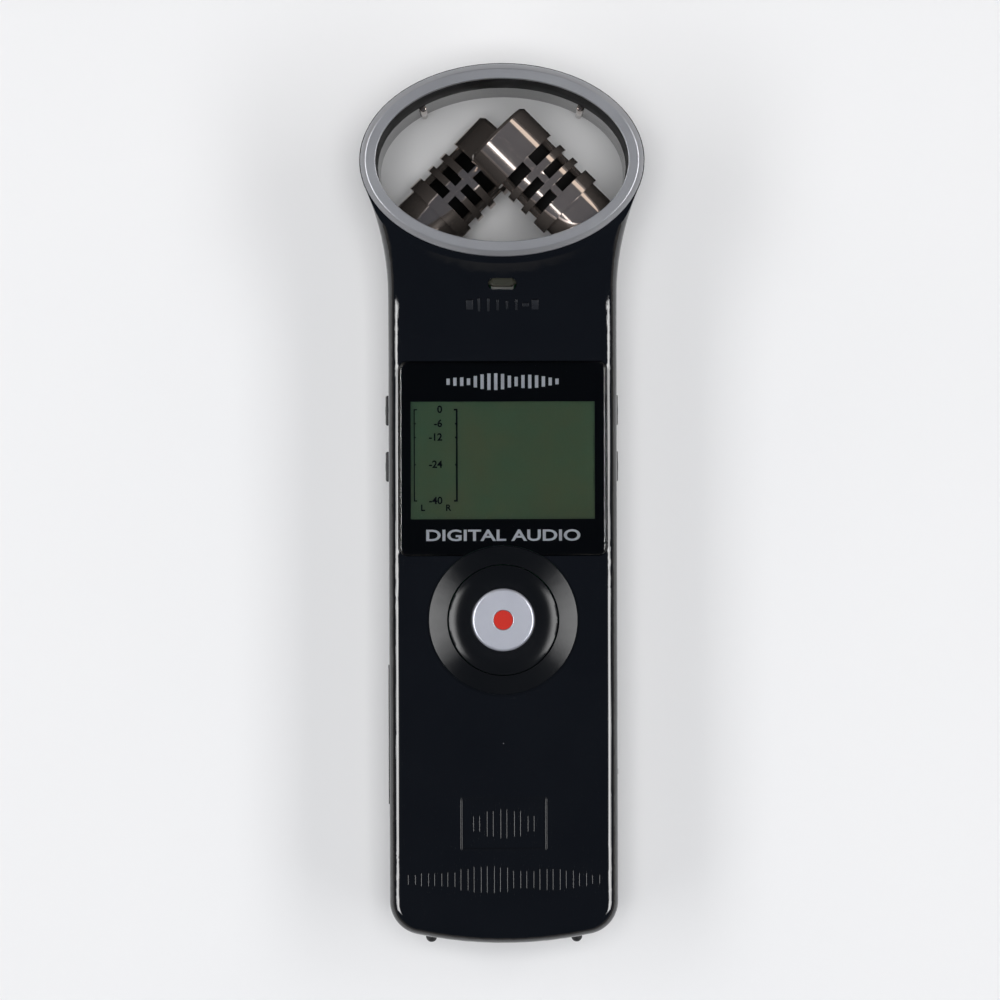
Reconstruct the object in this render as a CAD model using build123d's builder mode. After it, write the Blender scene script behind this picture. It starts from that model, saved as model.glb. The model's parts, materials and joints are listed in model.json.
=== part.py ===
"""Portable field recorder, lying on its rear.

X runs across the body, Y towards the microphones and Z out of the front. The origin is the
middle of the overall box, on the plane that the rear rests on. Millimetres.
"""
import os
from math import asin, cos, hypot, pi, sin, sqrt
from build123d import *

os.makedirs("parts", exist_ok=True)

# ---- overall sizes ----
length = 137.1  # top of the head to the tips of the end feet
body_width = 35.6
body_depth = 24.0  # rear to the front face
head_width = 44.0
head_height = 30.0  # the head's oval, along Y
head_depth = 31.0  # rear to the front of the oval ring
parting_z = 15.5
wall = 1.6
edge_radius = 2.0
flare_radius = 40.0
end_radius = 65.0  # the bottom end is a shallow arc
corner_radius = 5.2
shoulder_below_head = 29.95  # Y where the front starts to rise
shoulder_rise = 6.4  # how far it has risen at the head's oval

# ---- clearances ----
gap = 0.12  # between moving and fixed pieces
seat_gap = 0.05  # between pieces that are fitted together

# ---- head ring and opening ----
opening_width = 39.0
opening_height = 25.1
ring_margin = 0.15
ring_thickness = 1.4
ring_bevel = 0.8

# ---- microphones ----
mic_cross_above = 3.85  # crossing of the axes above the oval's centre
mic_upper_z = 22.9
mic_lower_z = 8.1
mic_radius = 5.8
mic_neck_radius = 5.3
mic_bore_radius = 4.3
mic_tail_radius = 5.1
mic_overhang = 1.3  # front face past the crossing
mic_cap = 6.4
mic_slots = (2.0, 1.6, 1.7)
mic_flanges = (1.2, 1.1, 2.3)
mic_tail = 6.2
mic_strut = 1.2
slots_per_row = 6
mic_chamfer = 0.5
foam_thickness = 1.2
foam_depth = 0.5
bushing_wall = 0.8
bushing_length = 1.6
lead_x = 6.0
lead_below_board_top = 2.0
lead_radius = 0.5

# ---- display ----
window_width = 32.55
window_length = 30.3
window_below_head = 45.92
window_corner = 1.4
window_proud = 0.55
window_edge = 0.7
window_thickness = 1.35
mask_thickness = 0.2
display_below_head = 46.19
display_width = 28.65
display_length = 18.3
lcd_border = 0.9
lcd_thickness = 1.4
backlight_thickness = 0.8
frame_wall = 0.6
strip_width = 2.2

# ---- record button ----
record_below_head = 71.02
record_outer = 23.15
record_inner = 17.3
record_rise = 1.1
record_base = 0.2  # the ring's outer edge above the front face
record_groove = 0.3  # shadow line round the ring
record_groove_depth = 0.6
dish_inner = 10.6
dish_sink = 0.75
dish_hollow = 0.3  # share of the sink that the dish is hollow by
cap_diameter = 9.8
cap_rise = 0.3
cap_thickness = 0.75
dot_diameter = 3.0
dot_sink = 0.3
record_travel = 0.4
key_depth = 3.8
switch_base_share = 0.8

# ---- lamp ----
lamp_below_head = 18.9
lamp_width = 4.35
lamp_length = 1.6
lamp_proud = 0.25
lamp_depth = 4.0
lamp_body_share = 0.8

# ---- badge recess ----
badge_above_end = 18.7
badge_width = 13.0
badge_length = 7.7
badge_sink = 0.3

# ---- side keys ----
key_length = 4.7
key_height = 3.0
keys_below_head = (38.27, 47.1)
key_proud_left = 0.6
key_proud_right = 0.3
key_travel = 0.25
key_inset = 1.0  # how far a key reaches inside the wall
flush_below_head = (58.55, 66.55, 74.55, 82.55)
flush_length = 4.4
switch_depth = 2.0
power_above_end = 26.4
power_knob = 3.0
power_slot = 6.0
power_proud = 0.2
power_rib = 1.0

# ---- memory card and its door ----
door_above_end = 32.55
door_length = 21.7
door_height = 5.0
door_z = 19.3  # middle of the door
door_proud = 0.15
door_thickness = 1.0
door_pin_radius = 0.25
card_width = 11.0
card_length = 15.0
card_thickness = 0.8
socket_width = 14.0
socket_height = 1.9

# ---- boards ----
board_z = 17.3
board_thickness = 1.0
board_top_below_head = 18.55
board_end_above_end = 6.9
board_margin = 0.7
# chips beside the card socket: X, Y from the middle of the card door, size along X and Y
card_chips = ((8.5, 11.35, 6.0, 6.0), (8.5, 2.35, 4.0, 5.0), (8.5, -6.65, 6.0, 4.0))
head_chip_below_sliders = 0.5
head_chip = (9.0, 5.0)

# ---- battery ----
cell_diameter = 14.5
cell_length = 50.5
cell_above_end = 30.7
cell_z = 9.1
spring_room = 3.2
contact_thickness = 0.4
contact_width_share = 0.7
contact_height_share = 0.8
spring_wire = 0.35
spring_turns = 4
hatch_width = 20.0
hatch_top_above_end = 59.3
hatch_thickness = 1.2
hatch_travel = 12.0
bay_gap = 0.35
grip_grooves = 4
grip_pitch = 1.6
grip_width = 0.7
grip_length = 9.0
grip_depth = 0.4
grip_above_end = 5.0
bay_height = 14.0

# ---- rear ----
tripod_below_head = 55.95
tripod_radius = 3.175  # quarter inch thread
tripod_depth = 6.0
tripod_bush_radius = 4.6
speaker_below_head = 40.35
speaker_radius = 9.0
speaker_depth = 3.4
cloth_thickness = 0.2
grille_hole = 1.2
grille_pitch = 2.4
grille_reach = 7.0
slider_below_head = 25.55
slider_columns = (-9.0, 0.0, 9.0)
slider_knob = 2.2
slider_travel = 2.0
slider_height = 1.6
slider_pit = 0.5
plate_below_head = 17.55
plate_width = 16.0
plate_length = 3.4
plate_sink = 0.3
screw_x = 13.4
screws_above_end = 11.9
screws_below_head = 20.05
screw_head = 1.7
screw_shank = 0.8
screw_sink = 0.6
boss_radius = 2.5

# ---- sockets ----
jack_below_head = 33.55
jack_z = 10.0
jack_bore = 1.8
jack_nose = 2.8
jack_block = 6.4
jack_length = 12.0
usb_below_head = 54.55
usb_z = 10.0
usb_width = 7.6
usb_height = 3.8
usb_length = 8.0
usb_wall = 0.4
usb_tongue_share = 0.7

# ---- end feet ----
foot_x = 11.45
foot_z = 14.0
foot_radius = 0.875
foot_reach = 0.65  # past the middle of the bottom end
foot_seat = 1.2

# ---- worked out ----
top_y = length / 2
end_y = foot_reach - length / 2
head_y = top_y - head_height / 2
half_width = body_width / 2
window_y = head_y - window_below_head
display_y = head_y - display_below_head
record_y = head_y - record_below_head
lamp_y = head_y - lamp_below_head
usb_y = head_y - usb_below_head
tripod_y = head_y - tripod_below_head
speaker_y = head_y - speaker_below_head
slider_y = head_y - slider_below_head
plate_y = head_y - plate_below_head
jack_y = head_y - jack_below_head
board_top_y = head_y - board_top_below_head
shoulder_start = head_y - shoulder_below_head
badge_y = end_y + badge_above_end
power_y = end_y + power_above_end
door_y = end_y + door_above_end
board_end_y = end_y + board_end_above_end
cell_y = end_y + cell_above_end
hatch_top_y = end_y + hatch_top_above_end
key_rows = [head_y - below for below in keys_below_head]
flush_rows = [head_y - below for below in flush_below_head]
screw_rows = (end_y + screws_above_end, head_y - screws_below_head)
ring_z = head_depth - ring_thickness
front_inside = body_depth - wall
board_top = board_z + board_thickness
inner_x = half_width - wall


def flare_angle(half, across, along, radius):
    """Angle on the oval (across, along) where the flare arc touches it."""
    low, high = -pi / 2, 0.0
    for _ in range(60):
        middle = (low + high) / 2
        slope = hypot(cos(middle) / across, sin(middle) / along)
        reach = across * cos(middle) + radius * cos(middle) / across / slope
        low, high = (middle, high) if reach < half + radius else (low, middle)
    return (low + high) / 2


def outline(inset=0.0, past_flare=0.0):
    """Plan of the recorder, inset all round; past_flare runs the flare on past the oval."""
    half = half_width - inset
    across = head_width / 2 - inset
    along = head_height / 2 - inset
    radius = flare_radius + inset
    angle = flare_angle(half, across, along, radius)
    slope = hypot(cos(angle) / across, sin(angle) / along)
    touch_x = across * cos(angle)
    touch_y = head_y + along * sin(angle)
    centre_x = half + radius
    centre_y = touch_y + radius * sin(angle) / along / slope
    if past_flare:
        touch_y = centre_y + past_flare
        touch_x = centre_x - sqrt(radius**2 - past_flare**2)
    middle_turn = asin((touch_y - centre_y) / radius) / 2
    middle_x = centre_x - radius * cos(middle_turn)
    middle_y = centre_y + radius * sin(middle_turn)
    end_arc = end_radius - inset
    low_y = end_y + inset + end_arc - sqrt(end_arc**2 - half**2)
    with BuildSketch(mode=Mode.PRIVATE) as plan:
        with BuildLine():
            Line((half, low_y), (half, centre_y))
            ThreePointArc((half, centre_y), (middle_x, middle_y), (touch_x, touch_y))
            Line((touch_x, touch_y), (-touch_x, touch_y))
            ThreePointArc((-touch_x, touch_y), (-middle_x, middle_y), (-half, centre_y))
            Line((-half, centre_y), (-half, low_y))
            ThreePointArc((-half, low_y), (0, end_y + inset), (half, low_y))
        make_face()
        fillet(plan.vertices().group_by(Axis.Y)[0], corner_radius - inset)
        if not past_flare:
            with Locations((0, head_y)):
                Ellipse(across, along)
    return plan.sketch


def oval(width, height):
    """The head's oval, at its own centre."""
    with BuildSketch(mode=Mode.PRIVATE) as shape:
        with Locations((0, head_y)):
            Ellipse(width / 2, height / 2)
    return shape.sketch


def save(piece, name):
    """Label a finished piece and write it."""
    piece.part.label = name
    export_step(piece.part, f"parts/{name}.step")


# ---- the outer forms of the two shells, without a cavity ----
tall = 2 * head_depth
flare_past = head_y - shoulder_start - head_height / 4

# the front's surface: flat, then swept up to the oval like the bell of a horn; turned as a
# circle and then squashed along Y to the oval's proportions
oval_ratio = head_height / head_width
oval_radius = head_width / 2
sweep_run = (head_y - shoulder_start) / oval_ratio - oval_radius
sweep_radius = (sweep_run**2 + shoulder_rise**2) / (2 * shoulder_rise)
sweep_out = oval_radius + sweep_run
sweep_top = body_depth + shoulder_rise
sweep_slope = sweep_run / (sweep_radius - shoulder_rise)
half_turn = asin(sweep_run / sweep_radius) / 2
half_way = (sweep_out - sweep_radius * sin(half_turn),
            body_depth + sweep_radius * (1 - cos(half_turn)))
crest = sweep_top + sweep_slope * oval_radius

with BuildPart() as front_form:
    with BuildSketch(Plane.XZ):
        with BuildLine():
            Line((0, -body_depth), (4 * length, -body_depth))
            Line((4 * length, -body_depth), (4 * length, body_depth))
            Line((4 * length, body_depth), (sweep_out, body_depth))
            ThreePointArc((sweep_out, body_depth), half_way, (oval_radius, sweep_top))
            Line((oval_radius, sweep_top), (0, crest))
            Line((0, crest), (0, -body_depth))
        make_face()
    revolve(axis=Axis.Z)
    scale(by=(1, oval_ratio, 1))

# the flared plan under that surface, with its edges rounded before the head's oval is added
with BuildPart() as front_outer:
    with BuildSketch():
        add(outline(0.0, flare_past))
    extrude(amount=tall)
    add(front_form.part.moved(Location((0, head_y, 0))), mode=Mode.INTERSECT)
    front_face = front_outer.faces().filter_by(lambda face: abs(face.center().Z - body_depth) < seat_gap)[0]
    rim = [
        edge for edge in front_outer.edges()
        if edge.center().Z > body_depth - seat_gap and abs(edge.tangent_at(0.5).X) < 0.99
        and edge.bounding_box().min.Z > body_depth - seat_gap
    ]
    front_bottom = [edge for edge in front_face.edges() if edge.center().Y < end_y + corner_radius]
    fillet(rim + [edge for edge in front_bottom if edge not in rim], edge_radius)
    with BuildSketch(Plane.XY.offset(ring_z)):
        Rectangle(2 * length, 2 * length)
    extrude(amount=2 * tall, mode=Mode.SUBTRACT)
    with BuildSketch():
        add(oval(head_width, head_height))
    extrude(amount=ring_z)
    with BuildSketch():
        add(outline())
    extrude(amount=tall, mode=Mode.INTERSECT)
    with BuildSketch():
        add(oval(opening_width, opening_height))
    extrude(amount=tall, mode=Mode.SUBTRACT)

with BuildPart() as rear_form:
    with BuildSketch():
        add(outline())
    extrude(amount=parting_z)
    fillet(rear_form.faces().sort_by(Axis.Z)[0].edges(), edge_radius)
    with BuildSketch():
        add(oval(opening_width, opening_height))
    extrude(amount=parting_z, mode=Mode.SUBTRACT)

# ---- microphone planes: origin on the front face of each barrel, Z out of the face ----
cross_y = head_y + mic_cross_above
lean = sqrt(0.5)
mic_face = mic_overhang * lean
mic_stack = mic_cap + sum(mic_slots) + sum(mic_flanges)
mic_length = mic_stack + mic_tail
mic_planes = {}
for name, side, level in (("upper", -1, mic_upper_z), ("lower", 1, mic_lower_z)):
    mic_planes[name] = Plane(
        origin=(side * mic_face, cross_y + mic_face, level),
        x_dir=(0, 0, 1),
        z_dir=(side * lean, lean, 0),
    )
seat_start = mic_length - bushing_length
seat_radius = mic_tail_radius + bushing_wall

# ---- places shared by the shells and what fits them ----
board_hole = boss_radius + gap
screw_places = [(side * screw_x, row) for side in (-1, 1) for row in screw_rows]
bay_half = cell_diameter / 2 + bay_gap
bay_outer = hatch_width / 2 + wall
bay_top_y = cell_y + cell_length / 2 + contact_thickness + bay_gap
bay_end_y = cell_y - cell_length / 2 - spring_room - contact_thickness
window_floor = body_depth + window_proud - window_thickness - mask_thickness
lcd_width = display_width + 2 * lcd_border
lcd_length = display_length + 2 * lcd_border
lcd_top = window_floor - seat_gap
record_hole = record_outer / 2 + seat_gap
window_notch = record_outer / 2 + gap
usb_nose = usb_width + 2 * usb_wall
grille_count = int(2 * grille_reach / grille_pitch) + 1
door_half = door_height / 2
door_pin_x = -(half_width + door_proud - door_thickness / 2)
door_pin_z = door_z - door_half + door_thickness / 2
fixed_keys = [(-1, row, key_length) for row in key_rows] + [(1, row, key_length) for row in key_rows]
side_keys = fixed_keys + [(1, row, flush_length) for row in flush_rows]
screw_top = parting_z - seat_gap


def side_box(side, y, z, x_from, x_to, size_y, size_z):
    """A box between two distances from the middle plane, on one side."""
    with BuildPart(mode=Mode.PRIVATE) as block:
        with Locations((side * (x_from + x_to) / 2, y, z)):
            Box(abs(x_to - x_from), size_y, size_z)
    return block.part


# what is cut out of both shells alike
with BuildPart() as side_cuts:
    for side, row, size in side_keys:
        add(side_box(side, row, parting_z, inner_x - wall, half_width + wall,
                     size + 2 * gap, key_height + 2 * gap))
    slot_y = power_y + (power_slot - power_knob) / 2
    add(side_box(1, slot_y, parting_z, inner_x - wall, half_width + wall,
                 power_slot + 2 * gap, key_height + 2 * gap))
    with BuildSketch(Plane.XZ.offset(-end_y)):
        for side in (-1, 1):
            with Locations((side * foot_x, foot_z)):
                Circle(foot_radius - seat_gap)
    extrude(amount=foot_seat + wall, both=True)
    for plane in mic_planes.values():
        with BuildSketch(plane.offset(-mic_stack)):
            Circle(mic_tail_radius + gap)
        extrude(amount=-mic_tail - gap)
        with BuildSketch(plane.offset(-seat_start)):
            Circle(seat_radius)
        extrude(amount=-bushing_length)
        with BuildSketch(plane.offset(-mic_stack - gap)):
            Circle(mic_radius + gap)
        extrude(amount=mic_flanges[-1] + gap)

with BuildPart() as rear_shell:
    add(rear_form.part)
    with BuildSketch(Plane.XY.offset(wall)):
        add(outline(wall))
        add(oval(opening_width + 2 * wall, opening_height + 2 * wall), mode=Mode.SUBTRACT)
    extrude(amount=tall, mode=Mode.SUBTRACT)
    with BuildSketch(Plane.XY.offset(wall)):
        with Locations(*screw_places):
            Circle(boss_radius)
    extrude(amount=parting_z - wall)
    bay_long = bay_top_y - bay_end_y
    with BuildSketch(Plane.XY.offset(wall)):
        add(outline(wall / 2))
        with Locations((0, (bay_top_y + bay_end_y) / 2)):
            Rectangle(2 * bay_outer, bay_long + 2 * wall, mode=Mode.INTERSECT)
            Rectangle(2 * bay_half, bay_long, mode=Mode.SUBTRACT)
    extrude(amount=bay_height - wall)
    with BuildSketch():
        with Locations((0, (hatch_top_y + gap + end_y - wall) / 2)):
            Rectangle(hatch_width + 2 * gap, hatch_top_y + gap - end_y + wall)
    extrude(amount=hatch_thickness + gap, mode=Mode.SUBTRACT)
    with BuildSketch():
        with Locations((0, (bay_top_y + bay_end_y) / 2)):
            Rectangle(2 * bay_half, bay_long)
    extrude(amount=bay_height, mode=Mode.SUBTRACT)
    with BuildSketch():
        with Locations(*screw_places):
            Circle(screw_head + gap)
    extrude(amount=2 * screw_sink + wall, mode=Mode.SUBTRACT)
    with BuildSketch():
        with Locations(*screw_places):
            Circle(screw_shank + gap)
    extrude(amount=parting_z, mode=Mode.SUBTRACT)
    with BuildSketch():
        with Locations((0, tripod_y)):
            Circle(tripod_bush_radius + seat_gap)
    extrude(amount=parting_z, mode=Mode.SUBTRACT)
    with BuildSketch():
        for column in range(grille_count):
            for line in range(grille_count):
                hole_x = (column - (grille_count - 1) / 2) * grille_pitch
                hole_y = (line - (grille_count - 1) / 2) * grille_pitch
                if hypot(hole_x, hole_y) < grille_reach:
                    with Locations((hole_x, speaker_y + hole_y)):
                        Circle(grille_hole / 2)
    extrude(amount=wall, mode=Mode.SUBTRACT)
    with BuildSketch():
        for column in slider_columns:
            with Locations((column, slider_y)):
                Rectangle(slider_knob + slider_travel + 2 * gap, slider_knob + 2 * gap)
    extrude(amount=wall, mode=Mode.SUBTRACT)
    with BuildSketch():
        with Locations((0, plate_y)):
            Rectangle(plate_width + 2 * seat_gap, plate_length + 2 * seat_gap)
    extrude(amount=plate_sink, mode=Mode.SUBTRACT)
    for side in (-1, 1):
        with BuildSketch(Plane.YZ):
            with Locations((jack_y, jack_z)):
                Circle(jack_nose + seat_gap)
        extrude(amount=side * (half_width + wall), mode=Mode.SUBTRACT)
    add(side_box(-1, usb_y, usb_z, inner_x - wall, half_width + wall,
                 usb_nose + 2 * seat_gap, usb_height + 2 * usb_wall + 2 * seat_gap),
        mode=Mode.SUBTRACT)
    add(side_cuts.part, mode=Mode.SUBTRACT)
save(rear_shell, "rear_shell")

with BuildPart() as front_shell:
    add(front_outer.part)
    with BuildSketch():
        Rectangle(2 * length, 2 * length)
    extrude(amount=parting_z, mode=Mode.SUBTRACT)
    with BuildSketch():
        add(outline(wall))
        add(oval(opening_width + 2 * wall, opening_height + 2 * wall), mode=Mode.SUBTRACT)
    extrude(amount=front_inside, mode=Mode.SUBTRACT)
    with BuildSketch(Plane.XY.offset(parting_z)):
        with Locations(*screw_places):
            Circle(boss_radius)
    extrude(amount=front_inside - parting_z)
    with BuildSketch(Plane.XY.offset(parting_z)):
        with Locations(*screw_places):
            Circle(screw_shank + seat_gap)
    extrude(amount=front_inside - parting_z, mode=Mode.SUBTRACT)
    with BuildSketch(Plane.XY.offset(window_floor)):
        with Locations((0, window_y)):
            RectangleRounded(window_width + 2 * seat_gap, window_length + 2 * seat_gap,
                             window_corner)
    extrude(amount=tall, mode=Mode.SUBTRACT)
    with BuildSketch():
        with Locations((0, display_y)):
            Rectangle(lcd_width + 2 * gap, lcd_length + 2 * gap)
    extrude(amount=tall, mode=Mode.SUBTRACT)
    with BuildSketch():
        with Locations((0, display_y)):
            Rectangle(lcd_width + 4 * gap + 2 * frame_wall, lcd_length + 4 * gap + 2 * frame_wall)
    extrude(amount=front_inside, mode=Mode.SUBTRACT)
    with BuildSketch():
        with Locations((0, record_y)):
            Circle(record_hole)
    extrude(amount=tall, mode=Mode.SUBTRACT)
    with BuildSketch(Plane.XY.offset(body_depth - record_groove_depth)):
        with Locations((0, record_y)):
            Circle(record_hole + record_groove)
    extrude(amount=tall, mode=Mode.SUBTRACT)
    with BuildSketch():
        with Locations((0, lamp_y)):
            SlotOverall(lamp_width + 2 * seat_gap, lamp_length + 2 * seat_gap)
    extrude(amount=tall, mode=Mode.SUBTRACT)
    with BuildSketch(Plane.XY.offset(body_depth - badge_sink)):
        with Locations((0, badge_y)):
            RectangleRounded(badge_width, badge_length, badge_sink * 2)
    extrude(amount=tall, mode=Mode.SUBTRACT)
    add(side_box(-1, door_y, door_z, inner_x - wall, half_width + wall,
                 door_length + 2 * gap, door_height + 2 * gap), mode=Mode.SUBTRACT)
    add(side_cuts.part, mode=Mode.SUBTRACT)
save(front_shell, "front_shell")

# ---- oval ring on the front of the head ----
with BuildPart() as head_ring:
    with BuildSketch(Plane.XY.offset(ring_z)):
        add(oval(head_width - 2 * ring_margin, head_height - 2 * ring_margin))
        add(oval(opening_width, opening_height), mode=Mode.SUBTRACT)
    extrude(amount=ring_thickness)
    top_edges = head_ring.faces().sort_by(Axis.Z)[-1].edges().sort_by(SortBy.LENGTH)
    chamfer(top_edges[-1], ring_bevel)
save(head_ring, "head_ring")

# ---- microphones ----
for name, plane in mic_planes.items():
    with BuildPart(plane) as mic_body:
        Cylinder(mic_neck_radius, mic_stack, align=(Align.CENTER, Align.CENTER, Align.MAX))
        Cylinder(mic_radius, mic_cap, align=(Align.CENTER, Align.CENTER, Align.MAX))
        depth = mic_cap
        slot_starts = []
        for slot, flange in zip(mic_slots, mic_flanges):
            slot_starts.append((depth, slot))
            depth += slot
            with Locations((0, 0, -depth)):
                Cylinder(mic_radius, flange, align=(Align.CENTER, Align.CENTER, Align.MAX))
            depth += flange
        with Locations((0, 0, -depth)):
            Cylinder(mic_tail_radius, mic_tail, align=(Align.CENTER, Align.CENTER, Align.MAX))
        chamfer(mic_body.edges().filter_by(GeomType.CIRCLE).sort_by(Axis(plane.origin, plane.z_dir))[-1],
                mic_chamfer)
        Cylinder(mic_bore_radius, mic_stack - wall, align=(Align.CENTER, Align.CENTER, Align.MAX),
                 mode=Mode.SUBTRACT)
        slot_width = 2 * pi * mic_neck_radius / slots_per_row - mic_strut
        for start, slot in slot_starts:
            with Locations((0, 0, -start - slot / 2)):
                with PolarLocations(mic_neck_radius - slot_width / 4, slots_per_row,
                                    start_angle=180 / slots_per_row):
                    Box(mic_neck_radius, slot_width, slot, mode=Mode.SUBTRACT)
    save(mic_body, f"{name}_mic_body")
    with BuildPart(plane) as capsule:
        with Locations((0, 0, -foam_depth - foam_thickness - seat_gap)):
            Cylinder(mic_bore_radius - seat_gap, mic_stack - wall - foam_thickness - foam_depth - gap,
                     align=(Align.CENTER, Align.CENTER, Align.MAX))
    save(capsule, f"{name}_mic_capsule")

with BuildPart() as mic_foam:
    for plane in mic_planes.values():
        with BuildSketch(plane.offset(-foam_depth)):
            Circle(mic_bore_radius - seat_gap)
        extrude(amount=-foam_thickness)
save(mic_foam, "mic_foam")

with BuildPart() as mic_bushings:
    for plane in mic_planes.values():
        with BuildSketch(plane.offset(-seat_start)):
            Circle(seat_radius - seat_gap)
            Circle(mic_tail_radius + seat_gap, mode=Mode.SUBTRACT)
        extrude(amount=-bushing_length)
save(mic_bushings, "mic_bushings")

# ---- display ----
with BuildPart() as display_window:
    with BuildSketch(Plane.XY.offset(window_floor + mask_thickness)):
        with Locations((0, window_y)):
            RectangleRounded(window_width, window_length, window_corner)
    extrude(amount=window_thickness)
    fillet(display_window.faces().sort_by(Axis.Z)[-1].edges(), window_edge)
    with BuildSketch():
        with Locations((0, record_y)):
            Circle(window_notch)
    extrude(amount=tall, mode=Mode.SUBTRACT)
save(display_window, "display_window")

with BuildPart() as window_mask:
    with BuildSketch(Plane.XY.offset(window_floor)):
        with Locations((0, window_y)):
            RectangleRounded(window_width, window_length, window_corner)
        with Locations((0, display_y)):
            Rectangle(display_width, display_length, mode=Mode.SUBTRACT)
        with Locations((0, record_y)):
            Circle(window_notch, mode=Mode.SUBTRACT)
    extrude(amount=mask_thickness)
save(window_mask, "window_mask")

lcd_layers = (("lcd_panel", lcd_top, lcd_thickness),
              ("lcd_backlight", lcd_top - lcd_thickness - seat_gap, backlight_thickness))
for name, level, thickness in lcd_layers:
    with BuildPart() as layer:
        with BuildSketch(Plane.XY.offset(level)):
            with Locations((0, display_y)):
                Rectangle(lcd_width, lcd_length)
        extrude(amount=-thickness)
    save(layer, name)
backlight_floor = lcd_top - lcd_thickness - backlight_thickness - 2 * seat_gap

with BuildPart() as lcd_frame:
    with BuildSketch(Plane.XY.offset(backlight_floor)):
        with Locations((0, display_y)):
            Rectangle(lcd_width + 2 * gap + 2 * frame_wall, lcd_length + 2 * gap + 2 * frame_wall)
            Rectangle(lcd_width + 2 * gap, lcd_length + 2 * gap, mode=Mode.SUBTRACT)
    extrude(amount=front_inside - seat_gap - backlight_floor)
save(lcd_frame, "lcd_frame")

with BuildPart() as lcd_connector_strips:
    with BuildSketch(Plane.XY.offset(board_top)):
        for end in (-1, 1):
            with Locations((0, display_y + end * (lcd_length / 2 - strip_width / 2))):
                Rectangle(lcd_width, strip_width)
    extrude(amount=backlight_floor - board_top)
save(lcd_connector_strips, "lcd_connector_strips")

# ---- record button group, turned profiles ----
ring_low = body_depth + record_base
ring_high = body_depth + record_rise
key_radius = record_inner / 2 - gap
key_floor = ring_high - key_depth
dish_radius = dish_inner / 2
dish_floor = ring_high - dish_sink
cap_radius = cap_diameter / 2
cap_floor = dish_floor + cap_rise - cap_thickness
cap_top = dish_floor + cap_rise
dish_middle = (key_radius + dish_radius) / 2
dish_sag = dish_sink * dish_hollow


def turned(points, arcs=()):
    """Turn a closed profile of (radius, z) points round the record button's axis."""
    with BuildPart(mode=Mode.PRIVATE) as body:
        with BuildSketch(Plane.XZ):
            with BuildLine():
                for index, start in enumerate(points):
                    finish = points[(index + 1) % len(points)]
                    through = dict(arcs).get(index)
                    if through:
                        ThreePointArc(start, through, finish)
                    else:
                        Line(start, finish)
            make_face()
        revolve(axis=Axis.Z)
    return body.part.moved(Location((0, record_y, 0)))


with BuildPart() as record_ring:
    add(turned([
        (record_inner / 2, front_inside), (record_outer / 2, front_inside),
        (record_outer / 2, ring_low), (record_inner / 2, ring_high),
    ]))
save(record_ring, "record_ring")

with BuildPart() as record_button:
    add(turned(
        [(0, key_floor), (key_radius, key_floor), (key_radius, ring_high - seat_gap),
         (dish_radius, dish_floor), (cap_radius + seat_gap, dish_floor),
         (cap_radius + seat_gap, cap_floor), (0, cap_floor)],
        [(2, (dish_middle, (ring_high + dish_floor) / 2 - dish_sag))],
    ))
save(record_button, "record_button")

with BuildPart() as record_cap:
    with BuildSketch(Plane.XY.offset(cap_floor)):
        with Locations((0, record_y)):
            Circle(cap_radius)
    extrude(amount=cap_thickness)
    chamfer(record_cap.faces().sort_by(Axis.Z)[-1].edges(), cap_rise)
    with BuildSketch(Plane.XY.offset(cap_top - dot_sink)):
        with Locations((0, record_y)):
            Circle(dot_diameter / 2 + seat_gap)
    extrude(amount=cap_thickness, mode=Mode.SUBTRACT)
save(record_cap, "record_cap")

with BuildPart() as record_dot:
    with BuildSketch(Plane.XY.offset(cap_top - dot_sink)):
        with Locations((0, record_y)):
            Circle(dot_diameter / 2)
    extrude(amount=dot_sink)
save(record_dot, "record_dot")

with BuildPart() as record_switch:
    with BuildSketch(Plane.XY.offset(board_top)):
        with Locations((0, record_y)):
            Rectangle(record_inner / 3, record_inner / 3)
    extrude(amount=(key_floor - record_travel - gap - board_top) * switch_base_share)
    with BuildSketch(Plane.XY.offset(board_top)):
        with Locations((0, record_y)):
            Circle(dot_diameter / 2)
    extrude(amount=key_floor - record_travel - gap - board_top)
save(record_switch, "record_switch")

# ---- lamp ----
lamp_run = sweep_out - (head_y - lamp_y) / oval_ratio
lamp_surface = body_depth + sweep_radius - sqrt(sweep_radius**2 - lamp_run**2)
lamp_slope = lamp_run / sqrt(sweep_radius**2 - lamp_run**2) / oval_ratio
lamp_tilt = asin(lamp_slope / sqrt(1 + lamp_slope**2))
lens_plane = Plane(origin=(0, lamp_y, lamp_surface), x_dir=(1, 0, 0),
                   z_dir=(0, -sin(lamp_tilt), cos(lamp_tilt)))
lens_slope = lamp_length / 2 * sin(lamp_tilt) / cos(lamp_tilt)
with BuildPart() as peak_lamp_lens:
    with BuildSketch(Plane.XY.offset(lamp_surface - lamp_depth)):
        with Locations((0, lamp_y)):
            SlotOverall(lamp_width, lamp_length)
    extrude(amount=lamp_depth + lens_slope + lamp_proud + wall)
    with BuildSketch(lens_plane.offset(lamp_proud)):
        Rectangle(4 * lamp_width, 8 * lamp_length)
    extrude(amount=tall, mode=Mode.SUBTRACT)
save(peak_lamp_lens, "peak_lamp_lens")

with BuildPart() as peak_lamp:
    with BuildSketch(Plane.XY.offset(front_inside - seat_gap)):
        with Locations((0, lamp_y)):
            Rectangle(lamp_width * lamp_body_share, lamp_length)
    extrude(amount=board_top - front_inside + seat_gap)
save(peak_lamp, "peak_lamp")

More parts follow.
